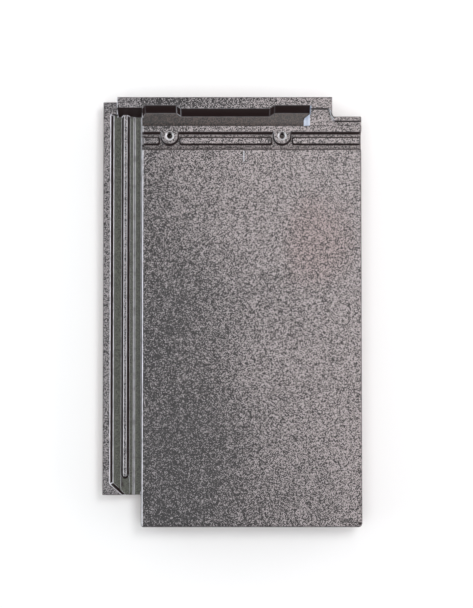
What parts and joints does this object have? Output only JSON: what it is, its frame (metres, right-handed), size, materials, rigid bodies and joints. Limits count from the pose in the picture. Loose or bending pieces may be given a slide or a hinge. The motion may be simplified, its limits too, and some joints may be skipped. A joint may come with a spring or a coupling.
{
  "type": "clay roof tile",
  "caption": "Flat interlocking clay roof tile with a ribbed side lock, a head channel, drainage grooves and countersunk nail holes.",
  "frame": {"origin": "middle of the bounding box in plan, at the level floor that the tile lies on", "axes": "+Y towards the head, +X towards the cover lock, +Z out of the weather face"},
  "size_m": [0.26, 0.43, 0.0345],
  "materials": {
    "fired_clay": "dark engobe with a fine pale speckle, satin"
  },
  "bodies": {
    "root": {"roof_tile": "fired_clay"}
  },
  "joints": []
}
